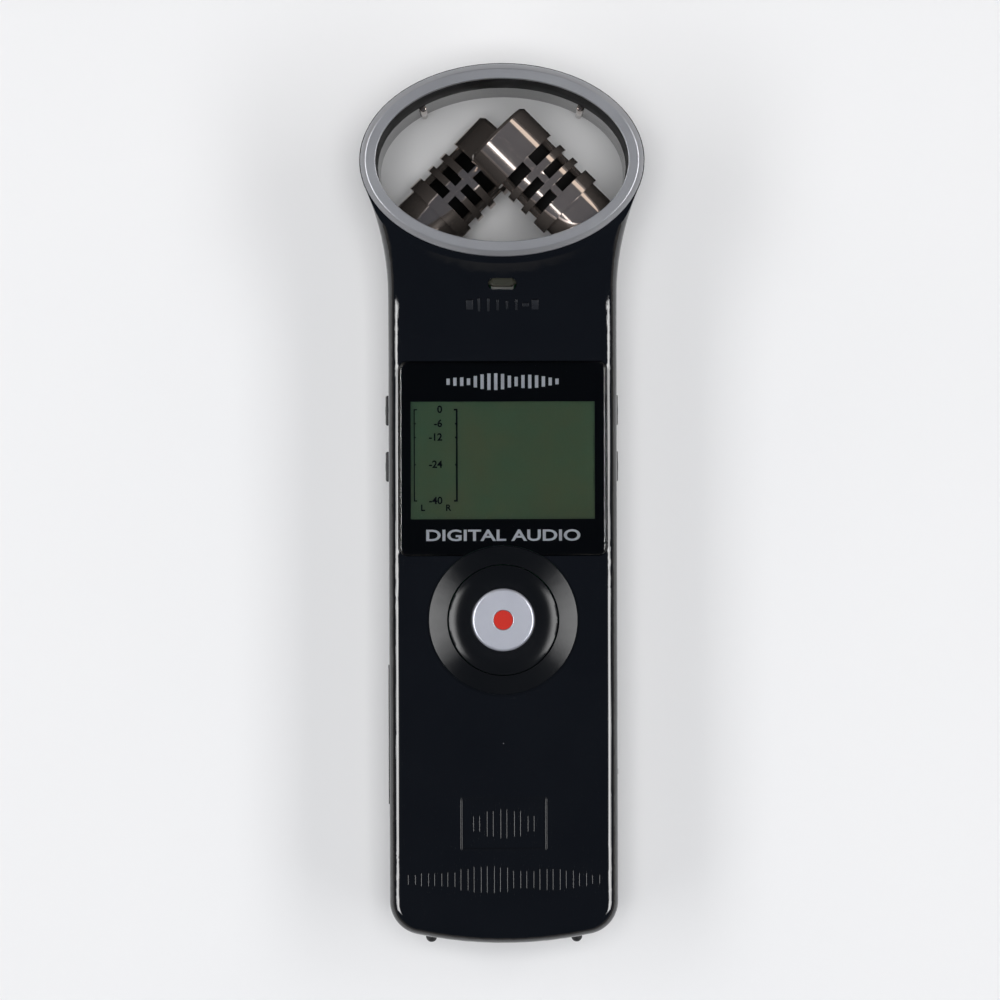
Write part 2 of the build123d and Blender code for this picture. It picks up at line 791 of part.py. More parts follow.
# ---- side keys and their switches ----
key_names = ("volume_up_key", "volume_down_key", "level_up_key", "level_down_key",
             "back_key", "play_key", "skip_key", "erase_key")
key_back = inner_x - key_inset
for name, (side, row, size) in zip(key_names, side_keys):
    proud = 0.0 if size == flush_length else key_proud_left if side < 0 else key_proud_right
    with BuildPart() as key:
        add(side_box(side, row, parting_z, key_back, half_width + proud, size, key_height))
        outer = key.faces().filter_by(Axis.X).sort_by(Axis.X)[-1 if side > 0 else 0]
        if proud:
            fillet(outer.edges(), proud / 2)
    save(key, name)

with BuildPart() as side_key_switches:
    switch_face = key_back - key_travel - seat_gap
    for side, row, size in side_keys:
        add(side_box(side, row, parting_z - seat_gap, switch_face - switch_depth, switch_face,
                     key_height, 2 * (board_z - parting_z)))
save(side_key_switches, "side_key_switches")

with BuildPart() as power_slider:
    add(side_box(1, power_y, parting_z, key_back, half_width - seat_gap, power_knob, key_height))
    add(side_box(1, power_y, parting_z, key_back, half_width + power_proud,
                 power_rib, key_height - 2 * power_proud))
save(power_slider, "power_slider")

with BuildPart() as power_switch:
    add(side_box(1, slot_y, parting_z - seat_gap, key_back - gap - switch_depth, key_back - gap,
                 power_slot, 2 * (board_z - parting_z)))
save(power_switch, "power_switch")

# ---- memory card, its socket and door ----
door_inner = half_width + door_proud - door_thickness
with BuildPart() as card_door:
    add(side_box(-1, door_y, door_z, door_inner, half_width + door_proud, door_length, door_height))
    hinge_edges = card_door.edges().filter_by(Axis.Y).group_by(Axis.Z)[0]
    fillet(hinge_edges, door_thickness / 2 - seat_gap)
    with BuildSketch(Plane.XZ.offset(-door_y)):
        with Locations((door_pin_x, door_pin_z)):
            Circle(door_pin_radius + seat_gap)
    extrude(amount=door_length, both=True, mode=Mode.SUBTRACT)
save(card_door, "card_door")

with BuildPart() as card_door_pin:
    with BuildSketch(Plane.XZ.offset(-door_y)):
        with Locations((door_pin_x, door_pin_z)):
            Circle(door_pin_radius)
    extrude(amount=door_length / 2 + gap, both=True)
save(card_door_pin, "card_door_pin")

socket_outer = inner_x - wall - gap
socket_mid_z = board_top + socket_height / 2
with BuildPart() as card_socket:
    add(side_box(-1, door_y, socket_mid_z, socket_outer - card_length, socket_outer,
                 socket_width, socket_height))
    add(side_box(-1, door_y, socket_mid_z, socket_outer - card_length + wall, socket_outer + wall,
                 card_width + 2 * gap, card_thickness + 2 * gap), mode=Mode.SUBTRACT)
save(card_socket, "card_socket")

with BuildPart() as memory_card:
    card_end = door_inner - gap
    add(side_box(-1, door_y, socket_mid_z, card_end - card_length, card_end,
                 card_width, card_thickness))
save(memory_card, "memory_card")

# ---- main board and what stands on it ----
with BuildPart() as main_board:
    with BuildSketch(Plane.XY.offset(board_z)):
        add(outline(wall + board_margin))
        with Locations((0, (board_top_y + board_end_y) / 2)):
            Rectangle(2 * body_width, board_top_y - board_end_y, mode=Mode.INTERSECT)
        with Locations(*screw_places):
            Circle(board_hole, mode=Mode.SUBTRACT)
    extrude(amount=board_thickness)
save(main_board, "main_board")

chip_places = [(chip_x, door_y + rise, across, along) for chip_x, rise, across, along in card_chips]
chip_places.append((0.0, slider_y - head_chip_below_sliders, *head_chip))
with BuildPart() as board_chips:
    for chip_x, chip_y, size_x, size_y in chip_places:
        with BuildSketch(Plane.XY.offset(board_top)):
            with Locations((chip_x, chip_y)):
                Rectangle(size_x, size_y)
        extrude(amount=board_thickness)
save(board_chips, "board_chips")

# ---- battery, its contacts and door ----
cell_bottom = cell_y - cell_length / 2
with BuildPart(Plane.XZ.offset(-cell_bottom)) as battery_cell:
    with Locations((0, cell_z, 0)):
        Cylinder(cell_diameter / 2, cell_length - wall, align=(Align.CENTER, Align.CENTER, Align.MAX))
        Cylinder(cell_diameter / 5, cell_length, align=(Align.CENTER, Align.CENTER, Align.MAX))
save(battery_cell, "battery_cell")

contact_width = cell_diameter * contact_width_share
contact_height = (bay_height - 2 * wall) * contact_height_share
with BuildPart() as battery_plus_contact:
    with Locations((0, cell_y + cell_length / 2 + contact_thickness / 2 + seat_gap, cell_z)):
        Box(contact_width, contact_thickness, contact_height)
save(battery_plus_contact, "battery_plus_contact")

spring_length = spring_room - 2 * seat_gap
spring_coil = cell_diameter / 4
with BuildPart() as battery_spring:
    with Locations((0, cell_bottom - spring_room - contact_thickness / 2 + seat_gap, cell_z)):
        Box(contact_width, contact_thickness, contact_height)
    for turn in range(spring_turns):
        turn_y = cell_bottom - spring_room + seat_gap + turn * spring_length / spring_turns
        with BuildSketch(Plane.XZ.offset(-turn_y)):
            with Locations((0, cell_z)):
                Circle(spring_coil - turn * spring_wire)
                Circle(spring_coil - (turn + 2) * spring_wire, mode=Mode.SUBTRACT)
        extrude(amount=-spring_length / spring_turns)
save(battery_spring, "battery_spring")

with BuildPart() as battery_door:
    add(rear_form.part)
    with BuildSketch(mode=Mode.PRIVATE) as hatch_plan:
        with Locations((0, (hatch_top_y + end_y - wall) / 2)):
            Rectangle(hatch_width, hatch_top_y - end_y + wall)
    extrude(to_extrude=hatch_plan.sketch, amount=hatch_thickness, mode=Mode.INTERSECT)
    with BuildSketch():
        for groove in range(grip_grooves):
            with Locations((0, end_y + grip_above_end + groove * grip_pitch)):
                SlotOverall(grip_length, grip_width)
    extrude(amount=grip_depth, mode=Mode.SUBTRACT)
save(battery_door, "battery_door")

# ---- rear pieces ----
with BuildPart() as tripod_bush:
    with BuildSketch():
        with Locations((0, tripod_y)):
            Circle(tripod_bush_radius)
    extrude(amount=tripod_depth + wall)
    with BuildSketch():
        with Locations((0, tripod_y)):
            Circle(tripod_radius)
    extrude(amount=tripod_depth, mode=Mode.SUBTRACT)
save(tripod_bush, "tripod_bush")

with BuildPart() as speaker:
    with BuildSketch(Plane.XY.offset(wall + cloth_thickness + 2 * seat_gap)):
        with Locations((0, speaker_y)):
            Circle(speaker_radius)
    extrude(amount=speaker_depth)
    with BuildSketch(Plane.XY.offset(wall + cloth_thickness + 2 * seat_gap)):
        with Locations((0, speaker_y)):
            Circle(grille_reach)
    extrude(amount=speaker_depth / 3, mode=Mode.SUBTRACT)
save(speaker, "speaker")

with BuildPart() as speaker_cloth:
    with BuildSketch(Plane.XY.offset(wall + seat_gap)):
        with Locations((0, speaker_y)):
            Circle(speaker_radius)
    extrude(amount=cloth_thickness)
save(speaker_cloth, "speaker_cloth")

slider_names = ("low_cut_slider", "auto_level_slider", "format_slider")
for name, column in zip(slider_names, slider_columns):
    with BuildPart() as slider:
        with BuildSketch(Plane.XY.offset(slider_pit)):
            with Locations((column - slider_travel / 2, slider_y)):
                Rectangle(slider_knob, slider_knob)
        extrude(amount=slider_height)
    save(slider, name)

with BuildPart() as rear_slide_switches:
    with BuildSketch(Plane.XY.offset(slider_pit + slider_height + gap)):
        for column in slider_columns:
            with Locations((column, slider_y)):
                Rectangle(slider_knob + slider_travel + wall, slider_knob + wall)
    extrude(amount=switch_depth)
save(rear_slide_switches, "rear_slide_switches")

with BuildPart() as rating_plate:
    with BuildSketch(Plane.XY.offset(seat_gap)):
        with Locations((0, plate_y)):
            RectangleRounded(plate_width, plate_length, plate_sink)
    extrude(amount=plate_sink - seat_gap)
save(rating_plate, "rating_plate")

with BuildPart() as housing_screws:
    with BuildSketch(Plane.XY.offset(screw_sink)):
        with Locations(*screw_places):
            Circle(screw_head)
    extrude(amount=2 * screw_sink + wall - screw_sink)
    with BuildSketch(Plane.XY.offset(screw_sink)):
        with Locations(*screw_places):
            Circle(screw_shank)
    extrude(amount=front_inside - wall - screw_sink)
    with BuildSketch(Plane.XY.offset(screw_sink)):
        with Locations(*screw_places):
            RegularPolygon(screw_head / 3, 6)
    extrude(amount=screw_sink, mode=Mode.SUBTRACT)
save(housing_screws, "housing_screws")

# ---- sockets ----
for name, side in (("phones_jack", -1), ("line_in_jack", 1)):
    jack_back = half_width - jack_length
    with BuildPart() as jack:
        add(side_box(side, jack_y, jack_z, jack_back, inner_x - gap, jack_block, jack_block))
        with BuildSketch(Plane.YZ.offset(side * jack_back)):
            with Locations((jack_y, jack_z)):
                Circle(jack_nose)
        extrude(amount=side * jack_length)
        with BuildSketch(Plane.YZ.offset(side * (jack_back + wall))):
            with Locations((jack_y, jack_z)):
                Circle(jack_bore)
        extrude(amount=side * jack_length, mode=Mode.SUBTRACT)
    save(jack, name)

with BuildPart() as usb_socket:
    usb_high = usb_height + 2 * usb_wall
    usb_back = half_width - usb_length
    add(side_box(-1, usb_y, usb_z, usb_back, half_width - seat_gap, usb_nose, usb_high))
    add(side_box(-1, usb_y, usb_z, usb_back + usb_wall, half_width + wall, usb_width, usb_height),
        mode=Mode.SUBTRACT)
    add(side_box(-1, usb_y, usb_z, usb_back, half_width - wall,
                 usb_width * usb_tongue_share, usb_height / 4))
save(usb_socket, "usb_socket")

# ---- end feet ----
with BuildPart() as end_feet:
    foot_out = end_y - foot_reach
    for side in (-1, 1):
        foot_plane = Plane(origin=(side * foot_x, foot_out + foot_radius, foot_z),
                           x_dir=(1, 0, 0), z_dir=(0, 1, 0))
        with BuildSketch(foot_plane):
            Circle(foot_radius - 2 * seat_gap)
        extrude(amount=foot_reach + foot_seat)
        with Locations(foot_plane.origin):
            Sphere(foot_radius)
save(end_feet, "end_feet")

# ---- microphone leads, one from each barrel's tail down to the board ----
with BuildPart() as mic_leads:
    for side in (-1, 1):
        with BuildSketch(Plane.XY.offset(board_top)):
            with Locations((side * lead_x, board_top_y - lead_below_board_top)):
                Circle(lead_radius)
        extrude(amount=front_inside - board_top - gap)
save(mic_leads, "mic_leads")
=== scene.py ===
"""Portable field recorder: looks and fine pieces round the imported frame. Metres."""
import json
from math import asin, atan, cos, hypot, pi, radians, sin, tan

import bpy
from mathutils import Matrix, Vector

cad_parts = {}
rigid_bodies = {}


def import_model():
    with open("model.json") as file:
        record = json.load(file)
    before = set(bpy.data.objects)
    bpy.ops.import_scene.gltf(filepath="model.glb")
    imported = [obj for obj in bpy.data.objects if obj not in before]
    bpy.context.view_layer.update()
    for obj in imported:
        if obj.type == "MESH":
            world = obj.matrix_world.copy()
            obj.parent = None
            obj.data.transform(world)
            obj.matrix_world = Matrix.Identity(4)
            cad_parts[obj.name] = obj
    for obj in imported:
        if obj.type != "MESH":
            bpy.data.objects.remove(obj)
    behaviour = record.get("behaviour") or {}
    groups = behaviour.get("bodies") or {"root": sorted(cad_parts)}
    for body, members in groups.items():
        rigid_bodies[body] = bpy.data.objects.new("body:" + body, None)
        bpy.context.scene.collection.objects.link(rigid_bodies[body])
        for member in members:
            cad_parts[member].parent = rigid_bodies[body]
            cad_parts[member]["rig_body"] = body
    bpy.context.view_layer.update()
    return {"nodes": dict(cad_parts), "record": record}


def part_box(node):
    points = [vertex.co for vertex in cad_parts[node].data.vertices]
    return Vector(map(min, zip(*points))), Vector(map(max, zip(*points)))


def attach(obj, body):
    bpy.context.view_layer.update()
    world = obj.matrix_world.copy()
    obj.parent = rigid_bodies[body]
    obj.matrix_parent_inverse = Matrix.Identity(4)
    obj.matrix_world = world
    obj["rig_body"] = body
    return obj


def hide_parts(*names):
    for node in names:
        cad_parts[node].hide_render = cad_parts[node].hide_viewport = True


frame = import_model()
MM = 0.001
nodes_by_name = frame["nodes"]
slot_of_node = {part["node"]: part["material_slot"] for part in frame["record"]["subparts"]}
HOUSING = "housing"

# the head's opening and the front face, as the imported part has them
HEAD_Y = 53.55 * MM
OPENING_HALF_X = 19.5 * MM
OPENING_HALF_Y = 12.55 * MM
HEAD_OVAL = 30.0 / 44.0
HEAD_HALF_WIDTH = 22.0 * MM
FRONT_Z = 24.0 * MM
MERGE_DISTANCE = 0.002 * MM

# ---------------------------------------------------------------- shared shader groups


def shader_group(name, inputs, output):
    """An empty node group with named inputs and one output."""
    group = bpy.data.node_groups.new(name, "ShaderNodeTree")
    for label, kind, value in inputs:
        socket = group.interface.new_socket(label, in_out="INPUT", socket_type=kind)
        if value is not None:
            socket.default_value = value
    group.interface.new_socket(output, in_out="OUTPUT", socket_type="NodeSocketFloat")
    source = group.nodes.new("NodeGroupInput")
    target = group.nodes.new("NodeGroupOutput")
    return group, source, target


def build_variation():
    """Slow drift of a value between two limits, such as handling marks in a gloss."""
    group, source, target = shader_group("surface_variation", [
        ("Vector", "NodeSocketVector", None), ("Scale", "NodeSocketFloat", 60.0),
        ("Low", "NodeSocketFloat", 0.1), ("High", "NodeSocketFloat", 0.2)], "Value")
    noise = group.nodes.new("ShaderNodeTexNoise")
    noise.inputs["Detail"].default_value = 5.0
    noise.inputs["Roughness"].default_value = 0.6
    spread = group.nodes.new("ShaderNodeMapRange")
    spread.inputs["From Min"].default_value = 0.35
    spread.inputs["From Max"].default_value = 0.65
    group.links.new(source.outputs["Vector"], noise.inputs["Vector"])
    group.links.new(source.outputs["Scale"], noise.inputs["Scale"])
    group.links.new(noise.outputs["Fac"], spread.inputs["Value"])
    group.links.new(source.outputs["Low"], spread.inputs["To Min"])
    group.links.new(source.outputs["High"], spread.inputs["To Max"])
    group.links.new(spread.outputs["Result"], target.inputs["Value"])
    return group


def build_specks():
    """Small scattered specks of dust, 1 on a speck and 0 between them."""
    group, source, target = shader_group("dust_specks", [
        ("Vector", "NodeSocketVector", None), ("Scale", "NodeSocketFloat", 500.0),
        ("Size", "NodeSocketFloat", 0.08), ("Share", "NodeSocketFloat", 0.9)], "Mask")
    cells = group.nodes.new("ShaderNodeTexVoronoi")
    inside = group.nodes.new("ShaderNodeMath")
    inside.operation = "LESS_THAN"
    chosen = group.nodes.new("ShaderNodeMath")
    chosen.operation = "GREATER_THAN"
    both = group.nodes.new("ShaderNodeMath")
    both.operation = "MULTIPLY"
    split = group.nodes.new("ShaderNodeSeparateColor")
    group.links.new(source.outputs["Vector"], cells.inputs["Vector"])
    group.links.new(source.outputs["Scale"], cells.inputs["Scale"])
    group.links.new(cells.outputs["Distance"], inside.inputs[0])
    group.links.new(source.outputs["Size"], inside.inputs[1])
    group.links.new(cells.outputs["Color"], split.inputs["Color"])
    group.links.new(split.outputs["Red"], chosen.inputs[0])
    group.links.new(source.outputs["Share"], chosen.inputs[1])
    group.links.new(inside.outputs[0], both.inputs[0])
    group.links.new(chosen.outputs[0], both.inputs[1])
    group.links.new(both.outputs[0], target.inputs["Mask"])
    return group


def build_grain():
    """Fine height: a noise stretched along one axis, for brushing, moulding or foam."""
    group, source, target = shader_group("fine_grain", [
        ("Vector", "NodeSocketVector", None), ("Scale", "NodeSocketFloat", 2000.0),
        ("Stretch", "NodeSocketVector", (1.0, 1.0, 1.0))], "Height")
    stretch = group.nodes.new("ShaderNodeVectorMath")
    stretch.operation = "MULTIPLY"
    noise = group.nodes.new("ShaderNodeTexNoise")
    noise.inputs["Detail"].default_value = 3.0
    group.links.new(source.outputs["Vector"], stretch.inputs[0])
    group.links.new(source.outputs["Stretch"], stretch.inputs[1])
    group.links.new(stretch.outputs[0], noise.inputs["Vector"])
    group.links.new(source.outputs["Scale"], noise.inputs["Scale"])
    group.links.new(noise.outputs["Fac"], target.inputs["Height"])
    return group


variation_group = build_variation()
specks_group = build_specks()
grain_group = build_grain()


def place_group(tree, group, coordinates, **values):
    """A group node in a material, fed by object coordinates."""
    node = tree.nodes.new("ShaderNodeGroup")
    node.node_tree = group
    for label, value in values.items():
        node.inputs[label].default_value = value
    tree.links.new(coordinates.outputs["Object"], node.inputs["Vector"])
    return node


def finish_material(name, dark, light, rough, metal=0.0, grain=(1500.0, (1.0, 1.0, 1.0), 0.05),
                    drift=70.0, dust=0.0, coat=0.0, specular=0.5, transmission=0.0, ior=1.5):
    """One finish: colour and gloss that drift, a fine grain in the height, and optional dust."""
    material = bpy.data.materials.new(name)
    material.use_nodes = True
    tree = material.node_tree
    shader = tree.nodes["Principled BSDF"]
    shader.inputs["Metallic"].default_value = metal
    shader.inputs["Coat Weight"].default_value = coat
    shader.inputs["Specular IOR Level"].default_value = specular
    shader.inputs["Transmission Weight"].default_value = transmission
    shader.inputs["IOR"].default_value = ior
    where = tree.nodes.new("ShaderNodeTexCoord")
    tone = place_group(tree, variation_group, where, Scale=drift, Low=0.0, High=1.0)
    gloss = place_group(tree, variation_group, where, Scale=drift * 1.7, Low=rough[0], High=rough[1])
    mix = tree.nodes.new("ShaderNodeMix")
    mix.data_type = "RGBA"
    mix.inputs["A"].default_value = (*dark, 1.0)
    mix.inputs["B"].default_value = (*light, 1.0)
    tree.links.new(tone.outputs["Value"], mix.inputs["Factor"])
    colour = mix.outputs["Result"]
    if dust:
        specks = place_group(tree, specks_group, where, Scale=420.0, Size=0.06, Share=1.0 - dust)
        dusted = tree.nodes.new("ShaderNodeMix")
        dusted.data_type = "RGBA"
        dusted.inputs["B"].default_value = (0.16, 0.16, 0.17, 1.0)
        tree.links.new(colour, dusted.inputs["A"])
        tree.links.new(specks.outputs["Mask"], dusted.inputs["Factor"])
        colour = dusted.outputs["Result"]
    tree.links.new(colour, shader.inputs["Base Color"])
    tree.links.new(gloss.outputs["Value"], shader.inputs["Roughness"])
    scale, stretch, strength = grain
    height = place_group(tree, grain_group, where, Scale=scale, Stretch=stretch)
    bump = tree.nodes.new("ShaderNodeBump")
    bump.inputs["Strength"].default_value = strength
    bump.inputs["Distance"].default_value = 0.02 * MM
    tree.links.new(height.outputs["Height"], bump.inputs["Height"])
    tree.links.new(bump.outputs["Normal"], shader.inputs["Normal"])
    return material


EVEN = (1.0, 1.0, 1.0)
ALONG_X = (0.05, 1.0, 1.0)
ALONG_Y = (1.0, 0.05, 1.0)
finishes = {
    "shell_black": finish_material("shell_black", (0.0018, 0.0021, 0.0032), (0.0026, 0.003, 0.0042),
                                   (0.05, 0.09), grain=(900.0, EVEN, 0.012), dust=0.025, coat=0.15,
                                   specular=0.8),
    "key_black": finish_material("key_black", (0.004, 0.0045, 0.006), (0.006, 0.0065, 0.008),
                                 (0.1, 0.16), grain=(2500.0, EVEN, 0.1)),
    "ring_silver": finish_material("ring_silver", (0.31, 0.315, 0.335), (0.35, 0.355, 0.375),
                                   (0.28, 0.34), metal=0.55, grain=(3000.0, EVEN, 0.12)),
    "mic_nickel": finish_material("mic_nickel", (0.56, 0.48, 0.43), (0.64, 0.55, 0.5),
                                  (0.08, 0.13), metal=0.9, grain=(1500.0, EVEN, 0.04)),
    "capsule_dark": finish_material("capsule_dark", (0.0015, 0.0015, 0.0015), (0.003, 0.003, 0.003),
                                    (0.7, 0.9), specular=0.1, grain=(5000.0, EVEN, 0.6)),
    "foam_dark": finish_material("foam_dark", (0.006, 0.006, 0.006), (0.02, 0.02, 0.02),
                                 (0.85, 1.0), grain=(6000.0, EVEN, 1.0), drift=900.0),
    "window_clear": finish_material("window_clear", (0.95, 0.96, 0.97), (0.97, 0.98, 0.99),
                                    (0.0, 0.02), grain=(300.0, EVEN, 0.002), transmission=1.0, ior=1.49),
    "mask_black": finish_material("mask_black", (0.0006, 0.0006, 0.0007), (0.001, 0.001, 0.0012),
                                  (0.35, 0.45), specular=0.2),
    "lcd_glass": finish_material("lcd_glass", (0.08, 0.148, 0.082), (0.112, 0.134, 0.068),
                                 (0.3, 0.4), drift=45.0, specular=0.0),
    "diffuser_white": finish_material("diffuser_white", (0.6, 0.6, 0.56), (0.7, 0.7, 0.66), (0.4, 0.6)),
    "frame_dark": finish_material("frame_dark", (0.02, 0.02, 0.02), (0.03, 0.03, 0.03), (0.5, 0.6)),
    "cap_silver": finish_material("cap_silver", (0.52, 0.535, 0.6), (0.56, 0.575, 0.64), (0.3, 0.36),
                                  metal=0.55, grain=(5000.0, EVEN, 0.3), drift=200.0),
    "dot_red": finish_material("dot_red", (0.44, 0.009, 0.002), (0.5, 0.013, 0.003), (0.3, 0.4)),
    "lens_smoke": finish_material("lens_smoke", (0.028, 0.029, 0.022), (0.04, 0.04, 0.03), (0.08, 0.13),
                                  coat=0.3),
    "switch_metal": finish_material("switch_metal", (0.5, 0.5, 0.48), (0.6, 0.6, 0.58), (0.3, 0.45),
                                    metal=1.0, grain=(3000.0, ALONG_Y, 0.3)),
    "socket_metal": finish_material("socket_metal", (0.5, 0.5, 0.5), (0.6, 0.6, 0.6), (0.25, 0.4),
                                    metal=1.0, grain=(3000.0, ALONG_X, 0.3)),
    "socket_black": finish_material("socket_black", (0.012, 0.012, 0.013), (0.02, 0.02, 0.022),
                                    (0.35, 0.5), grain=(4000.0, EVEN, 0.2)),
    "card_black": finish_material("card_black", (0.02, 0.02, 0.02), (0.03, 0.03, 0.03), (0.4, 0.5)),
    "board_green": finish_material("board_green", (0.01, 0.09, 0.035), (0.015, 0.12, 0.05), (0.25, 0.4),
                                   drift=300.0),
    "chip_black": finish_material("chip_black", (0.015, 0.015, 0.015), (0.025, 0.025, 0.025), (0.5, 0.7)),
    "rubber_black": finish_material("rubber_black", (0.008, 0.008, 0.009), (0.014, 0.014, 0.015),
                                    (0.4, 0.55), grain=(3500.0, EVEN, 0.3)),
    "cell_wrap": finish_material("cell_wrap", (0.03, 0.07, 0.16), (0.04, 0.09, 0.19), (0.2, 0.3)),
    "spring_steel": finish_material("spring_steel", (0.55, 0.55, 0.52), (0.65, 0.65, 0.62), (0.2, 0.35),
                                    metal=1.0),
    "brass_bush": finish_material("brass_bush", (0.5, 0.36, 0.16), (0.6, 0.44, 0.2), (0.25, 0.4),
                                  metal=1.0, grain=(3000.0, EVEN, 0.2)),
    "cone_paper": finish_material("cone_paper", (0.02, 0.02, 0.02), (0.03, 0.03, 0.03), (0.7, 0.9),
                                  grain=(4000.0, EVEN, 0.6)),
    "cloth_black": finish_material("cloth_black", (0.006, 0.006, 0.006), (0.015, 0.015, 0.015),
                                   (0.9, 1.0), grain=(6000.0, EVEN, 1.0), drift=2000.0),
    "screw_steel": finish_material("screw_steel", (0.05, 0.05, 0.055), (0.08, 0.08, 0.085), (0.25, 0.4),
                                   metal=1.0, grain=(3000.0, EVEN, 0.2)),
    "plate_grey": finish_material("plate_grey", (0.05, 0.05, 0.053), (0.06, 0.06, 0.064), (0.45, 0.55),
                                  grain=(3000.0, ALONG_X, 0.2)),
    "wire_red": finish_material("wire_red", (0.2, 0.01, 0.01), (0.25, 0.02, 0.02), (0.4, 0.5)),
}
record_gloss = finish_material("record_gloss", (0.003, 0.0035, 0.0045), (0.005, 0.0055, 0.0065),
                               (0.17, 0.21), grain=(1800.0, EVEN, 0.01), specular=0.3)
# painted shade: the head opening's walls are the same glossy black plastic, given a darker colour and
# almost no reflection so they look shaded
painted_shade_head_wall = finish_material("painted_shade_head_wall", (0.0012, 0.0013, 0.0016), (0.002, 0.0022, 0.0026),
                            (0.06, 0.1), grain=(1200.0, EVEN, 0.05), specular=0.05)
painted_shade_head_lip = finish_material("painted_shade_head_lip", (0.0012, 0.0013, 0.0016), (0.002, 0.0022, 0.0026),
                           (0.4, 0.5), grain=(1200.0, EVEN, 0.05), specular=0.02)
# painted sheen: the raised label marks are the same black plastic as the shell, given a lighter colour
# that stands in for the highlights on their edges
mark_painted_sheen = finish_material("mark_painted_sheen", (0.008, 0.009, 0.011), (0.012, 0.013, 0.016),
                             (0.25, 0.35), specular=0.8)
print_grey = finish_material("print_grey", (0.66, 0.7, 0.76), (0.72, 0.76, 0.82), (0.5, 0.6))
mark_dark = finish_material("mark_dark", (0.002, 0.003, 0.002), (0.003, 0.004, 0.003), (0.5, 0.6),
                            specular=0.0)

# ---------------------------------------------------------------- pieces, made as by hand


def nothing_selected():
    bpy.ops.object.select_all(action="DESELECT")


def only_selected(piece):
    """Select one piece and make it the active one."""
    nothing_selected()
    piece.select_set(True)
    bpy.context.view_layer.objects.active = piece


def settle(piece, name, body, slot, material=None):
    """Name a finished piece, give it its material and let it ride on its body."""
    only_selected(piece)
    bpy.ops.object.transform_apply(location=True, rotation=True, scale=True)
    piece.name = name
    piece.data.name = name
    piece.data.materials.clear()
    piece.data.materials.append(material or finishes[slot])
    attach(piece, body)
    return piece


def soften(piece, width, segments=3, angle=30.0):
    """Round the sharp edges of a piece and shade it smooth."""
    only_selected(piece)
    bpy.ops.object.transform_apply(location=False, rotation=False, scale=True)
    bevel = piece.modifiers.new("round", "BEVEL")
    bevel.width = width
    bevel.segments = segments
    bevel.limit_method = "ANGLE"
    bevel.angle_limit = radians(angle)
    bpy.ops.object.modifier_apply(modifier="round")
    bpy.ops.object.shade_smooth_by_angle(angle=radians(angle))


def block(centre, size, rotation=(0, 0, 0), edge=0.0):
    """A cuboid at its place, with rounded edges if an edge is given."""
    nothing_selected()
    bpy.ops.mesh.primitive_cube_add(size=1.0, location=centre, rotation=rotation)
    piece = bpy.context.object
    piece.scale = size
    if edge:
        soften(piece, edge)
    return piece


def joined(pieces):
    """Several blocks made into one piece."""
    nothing_selected()
    for piece in pieces:
        piece.select_set(True)
    bpy.context.view_layer.objects.active = pieces[0]
    if len(pieces) > 1:
        bpy.ops.object.join()
    return pieces[0]


CAPITAL_SHARE = 0.72
STROKE_SHARE = 0.03


def lettering(words, centre, height, depth, align="CENTER", width=None):
    """Plain lettering as a solid, facing +Z. The height is that of a capital."""
    nothing_selected()
    bpy.ops.object.text_add(location=(0, 0, 0))
    piece = bpy.context.object
    piece.data.body = words
    piece.data.size = height / CAPITAL_SHARE
    piece.data.extrude = depth / 2
    piece.data.align_x = align
    piece.data.align_y = "CENTER"
    piece.data.resolution_u = 4
    piece.data.offset = height * STROKE_SHARE
    bpy.ops.object.convert(target="MESH")
    if width:
        piece.scale.x = width / piece.dimensions.x
    piece.location = centre
    return piece


def selected_copy(name):
    """A copy of a CAD node, linked, selected and active."""
    piece = bpy.data.objects.new(name + "_finished", nodes_by_name[name].data.copy())
    bpy.context.scene.collection.objects.link(piece)
    only_selected(piece)
    return piece


def stand_for(piece, name):
    """Settle a finished copy with its node's body and slot, and let it stand for the node."""
    settle(piece, name + "_finished", nodes_by_name[name]["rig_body"], slot_of_node[name])
    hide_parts(name)


def copied(name):
    """A merged copy of a CAD node that keeps its own smooth normals, and stands for the node."""
    piece = selected_copy(name)
    bpy.ops.object.mode_set(mode="EDIT")
    bpy.ops.mesh.select_all(action="SELECT")
    bpy.ops.mesh.remove_doubles(threshold=MERGE_DISTANCE, use_sharp_edge_from_normals=True)
    bpy.ops.object.mode_set(mode="OBJECT")
    stand_for(piece, name)


def refined(name, bevel, angle=32.0):
    """A merged copy of a CAD node with its sharp edges broken, which stands for the node."""
    piece = selected_copy(name)
    bpy.ops.mesh.customdata_custom_splitnormals_clear()
    bpy.ops.object.mode_set(mode="EDIT")
    bpy.ops.mesh.select_all(action="SELECT")
    bpy.ops.mesh.remove_doubles(threshold=MERGE_DISTANCE)
    bpy.ops.mesh.dissolve_limited(angle_limit=radians(0.3))
    bpy.ops.object.mode_set(mode="OBJECT")
    if bevel:
        edge = piece.modifiers.new("edge", "BEVEL")
        edge.width = bevel
        edge.segments = 2
        edge.limit_method = "ANGLE"
        edge.angle_limit = radians(angle)
        bpy.ops.object.modifier_apply(modifier="edge")
    bpy.ops.object.shade_smooth_by_angle(angle=radians(angle))
    weight = piece.modifiers.new("weight", "WEIGHTED_NORMAL")
    weight.keep_sharp = True
    bpy.ops.object.modifier_apply(modifier="weight")
    stand_for(piece, name)


